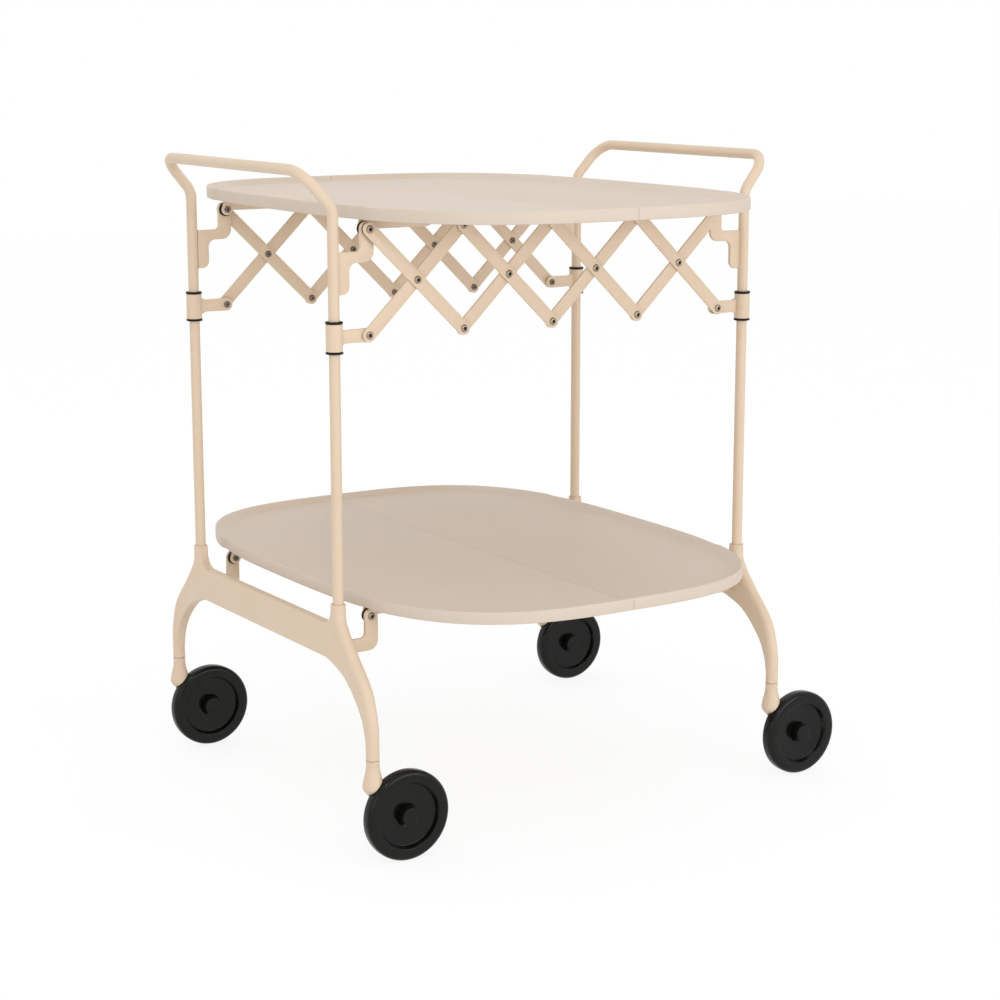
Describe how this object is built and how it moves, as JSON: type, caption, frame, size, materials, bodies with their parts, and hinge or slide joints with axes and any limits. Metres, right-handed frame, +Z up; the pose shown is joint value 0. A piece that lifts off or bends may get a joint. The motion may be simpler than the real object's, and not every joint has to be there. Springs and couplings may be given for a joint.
{
  "type": "folding serving trolley",
  "caption": "Folding serving trolley with rounded-square trays hinged across the middle, bent-tube end frames, scissor lattices on sliding collars and swivel castors.",
  "frame": {"origin": "on the floor, under the middle of the overall length and width, with the trolley unfolded and all castors trailing right", "axes": "+Z up; +X from the left to the right end frame; +Y from the front to the back"},
  "size_m": [0.6347, 0.636, 0.6977],
  "materials": {
    "frame_paint": "semi-matt powder coat, warm cream",
    "tray_plastic": "fine satin, light warm grey beige",
    "black_plastic": "satin black",
    "wheel_rubber": "smooth semi-gloss black tread and disc",
    "steel": "nickel-plated steel with black washer"
  },
  "bodies": {
    "left_frame": {"left_frame_tube": "frame_paint", "left_leg_casting": "frame_paint", "front_left_upper_bracket": "frame_paint", "front_left_upper_tray_pivot_pin": "steel", "front_left_lower_tray_pivot_pin": "steel", "back_left_upper_bracket": "frame_paint", "back_left_upper_tray_pivot_pin": "steel", "back_left_lower_tray_pivot_pin": "steel"},
    "right_frame": {"right_frame_tube": "frame_paint", "right_leg_casting": "frame_paint", "front_right_upper_bracket": "frame_paint", "front_right_upper_tray_pivot_pin": "steel", "front_right_lower_tray_pivot_pin": "steel", "back_right_upper_bracket": "frame_paint", "back_right_upper_tray_pivot_pin": "steel", "back_right_lower_tray_pivot_pin": "steel"},
    "upper_left_tray_half": {"upper_left_tray": "tray_plastic", "upper_left_tray_carrier": "frame_paint"},
    "upper_right_tray_half": {"upper_right_tray": "tray_plastic", "upper_right_tray_carrier": "frame_paint"},
    "lower_left_tray_half": {"lower_left_tray": "tray_plastic", "lower_left_tray_carrier": "frame_paint"},
    "lower_right_tray_half": {"lower_right_tray": "tray_plastic", "lower_right_tray_carrier": "frame_paint"},
    "lattice_links_1": {"front_lattice_link_1": "frame_paint", "back_lattice_link_1": "frame_paint"},
    "lattice_links_2": {"front_lattice_link_2": "frame_paint", "back_lattice_link_2": "frame_paint"},
    "lattice_links_3": {"front_lattice_link_3": "frame_paint", "back_lattice_link_3": "frame_paint"},
    "lattice_links_4": {"front_lattice_link_4": "frame_paint", "back_lattice_link_4": "frame_paint"},
    "lattice_links_5": {"front_lattice_link_5": "frame_paint", "back_lattice_link_5": "frame_paint"},
    "lattice_links_6": {"front_lattice_link_6": "frame_paint", "back_lattice_link_6": "frame_paint"},
    "lattice_links_7": {"front_lattice_link_7": "frame_paint", "back_lattice_link_7": "frame_paint"},
    "lattice_links_8": {"front_lattice_link_8": "frame_paint", "back_lattice_link_8": "frame_paint"},
    "left_collars": {"front_left_collar": "frame_paint", "front_left_collar_liner": "black_plastic", "back_left_collar": "frame_paint", "back_left_collar_liner": "black_plastic"},
    "right_collars": {"front_right_collar": "frame_paint", "front_right_collar_liner": "black_plastic", "back_right_collar": "frame_paint", "back_right_collar_liner": "black_plastic"},
    "front_left_castor": {"front_left_castor_housing": "frame_paint", "front_left_axle_cap": "black_plastic"},
    "front_left_castor_wheel": {"front_left_wheel": "wheel_rubber"},
    "back_left_castor": {"back_left_castor_housing": "frame_paint", "back_left_axle_cap": "black_plastic"},
    "back_left_castor_wheel": {"back_left_wheel": "wheel_rubber"},
    "front_right_castor": {"front_right_castor_housing": "frame_paint", "front_right_axle_cap": "black_plastic"},
    "front_right_castor_wheel": {"front_right_wheel": "wheel_rubber"},
    "back_right_castor": {"back_right_castor_housing": "frame_paint", "back_right_axle_cap": "black_plastic"},
    "back_right_castor_wheel": {"back_right_wheel": "wheel_rubber"}
  },
  "joints": [
    {"name": "fold", "type": "hinge", "parent": "left_frame", "child": "upper_left_tray_half", "pos_m": [-0.24025, 0, 0.633], "axis": [0, -1, 0], "range_deg": [0, 77]},
    {"name": "upper_tray_middle", "type": "hinge", "parent": "upper_left_tray_half", "child": "upper_right_tray_half", "pos_m": [-0.02125, 0, 0.638], "axis": [0, -1, 0], "range_deg": [-154.05, 0]},
    {"name": "right_frame_turn", "type": "hinge", "parent": "upper_right_tray_half", "child": "right_frame", "pos_m": [0.19775, 0, 0.633], "axis": [0, -1, 0], "range_deg": [0, 77.05]},
    {"name": "lower_left_tray_turn", "type": "hinge", "parent": "left_frame", "child": "lower_left_tray_half", "pos_m": [-0.24025, 0, 0.2375], "axis": [0, -1, 0], "range_deg": [0, 77.05]},
    {"name": "lower_right_tray_turn", "type": "hinge", "parent": "right_frame", "child": "lower_right_tray_half", "pos_m": [0.19775, 0, 0.2375], "axis": [0, -1, 0], "range_deg": [-77.05, 0]},
    {"name": "link_1_turn", "type": "hinge", "parent": "left_frame", "child": "lattice_links_1", "pos_m": [-0.24025, 0, 0.633], "axis": [0, -1, 0], "range_deg": [-37.65, 0]},
    {"name": "link_2_turn", "type": "hinge", "parent": "lattice_links_1", "child": "lattice_links_2", "pos_m": [-0.1855, 0, 0.5801], "axis": [0, -1, 0], "range_deg": [0, 75.25]},
    {"name": "link_3_turn", "type": "hinge", "parent": "lattice_links_1", "child": "lattice_links_3", "pos_m": [-0.13075, 0, 0.5272], "axis": [0, -1, 0], "range_deg": [0, 75.25]},
    {"name": "link_4_turn", "type": "hinge", "parent": "lattice_links_2", "child": "lattice_links_4", "pos_m": [-0.13075, 0, 0.633], "axis": [0, -1, 0], "range_deg": [-75.25, 0]},
    {"name": "left_collars_turn", "type": "hinge", "parent": "lattice_links_2", "child": "left_collars", "pos_m": [-0.24025, 0, 0.5272], "axis": [0, -1, 0], "range_deg": [-37.65, 0]},
    {"name": "link_7_turn", "type": "hinge", "parent": "right_frame", "child": "lattice_links_7", "pos_m": [0.19775, 0, 0.633], "axis": [0, -1, 0], "range_deg": [0, 37.65]},
    {"name": "link_8_turn", "type": "hinge", "parent": "lattice_links_7", "child": "lattice_links_8", "pos_m": [0.143, 0, 0.5801], "axis": [0, -1, 0], "range_deg": [-75.25, 0]},
    {"name": "link_5_turn", "type": "hinge", "parent": "lattice_links_7", "child": "lattice_links_5", "pos_m": [0.08825, 0, 0.5272], "axis": [0, -1, 0], "range_deg": [-75.25, 0]},
    {"name": "link_6_turn", "type": "hinge", "parent": "lattice_links_8", "child": "lattice_links_6", "pos_m": [0.08825, 0, 0.633], "axis": [0, -1, 0], "range_deg": [0, 75.25]},
    {"name": "right_collars_turn", "type": "hinge", "parent": "lattice_links_8", "child": "right_collars", "pos_m": [0.19775, 0, 0.5272], "axis": [0, -1, 0], "range_deg": [0, 37.65]},
    {"name": "front_left_swivel", "type": "hinge", "parent": "left_frame", "child": "front_left_castor", "pos_m": [-0.27875, -0.2295, 0.1], "axis": [0, 0, 1], "continuous": true},
    {"name": "front_left_wheel_roll", "type": "hinge", "parent": "front_left_castor", "child": "front_left_castor_wheel", "pos_m": [-0.24495, -0.2377, 0.0474], "axis": [0, 1, 0], "continuous": true},
    {"name": "back_left_swivel", "type": "hinge", "parent": "left_frame", "child": "back_left_castor", "pos_m": [-0.27875, 0.2295, 0.1], "axis": [0, 0, 1], "continuous": true},
    {"name": "back_left_wheel_roll", "type": "hinge", "parent": "back_left_castor", "child": "back_left_castor_wheel", "pos_m": [-0.24495, 0.2213, 0.0474], "axis": [0, 1, 0], "continuous": true},
    {"name": "front_right_swivel", "type": "hinge", "parent": "right_frame", "child": "front_right_castor", "pos_m": [0.23625, -0.2295, 0.1], "axis": [0, 0, 1], "continuous": true},
    {"name": "front_right_wheel_roll", "type": "hinge", "parent": "front_right_castor", "child": "front_right_castor_wheel", "pos_m": [0.27005, -0.2377, 0.0474], "axis": [0, 1, 0], "continuous": true},
    {"name": "back_right_swivel", "type": "hinge", "parent": "right_frame", "child": "back_right_castor", "pos_m": [0.23625, 0.2295, 0.1], "axis": [0, 0, 1], "continuous": true},
    {"name": "back_right_wheel_roll", "type": "hinge", "parent": "back_right_castor", "child": "back_right_castor_wheel", "pos_m": [0.27005, 0.2213, 0.0474], "axis": [0, 1, 0], "continuous": true}
  ],
  "couplings": [
    {"joint": "upper_tray_middle", "follows": "fold", "ratio": -2},
    {"joint": "right_frame_turn", "follows": "fold", "ratio": 1},
    {"joint": "lower_left_tray_turn", "follows": "fold", "ratio": 1},
    {"joint": "lower_right_tray_turn", "follows": "fold", "ratio": -1},
    {"joint": "link_1_turn", "follows": "fold", "ratio": -0.48834},
    {"joint": "link_2_turn", "follows": "fold", "ratio": 0.97668},
    {"joint": "link_3_turn", "follows": "fold", "ratio": 0.97668},
    {"joint": "link_4_turn", "follows": "fold", "ratio": -0.97668},
    {"joint": "left_collars_turn", "follows": "fold", "ratio": -0.48834},
    {"joint": "link_7_turn", "follows": "fold", "ratio": 0.48834},
    {"joint": "link_8_turn", "follows": "fold", "ratio": -0.97668},
    {"joint": "link_5_turn", "follows": "fold", "ratio": -0.97668},
    {"joint": "link_6_turn", "follows": "fold", "ratio": 0.97668},
    {"joint": "right_collars_turn", "follows": "fold", "ratio": 0.48834}
  ]
}
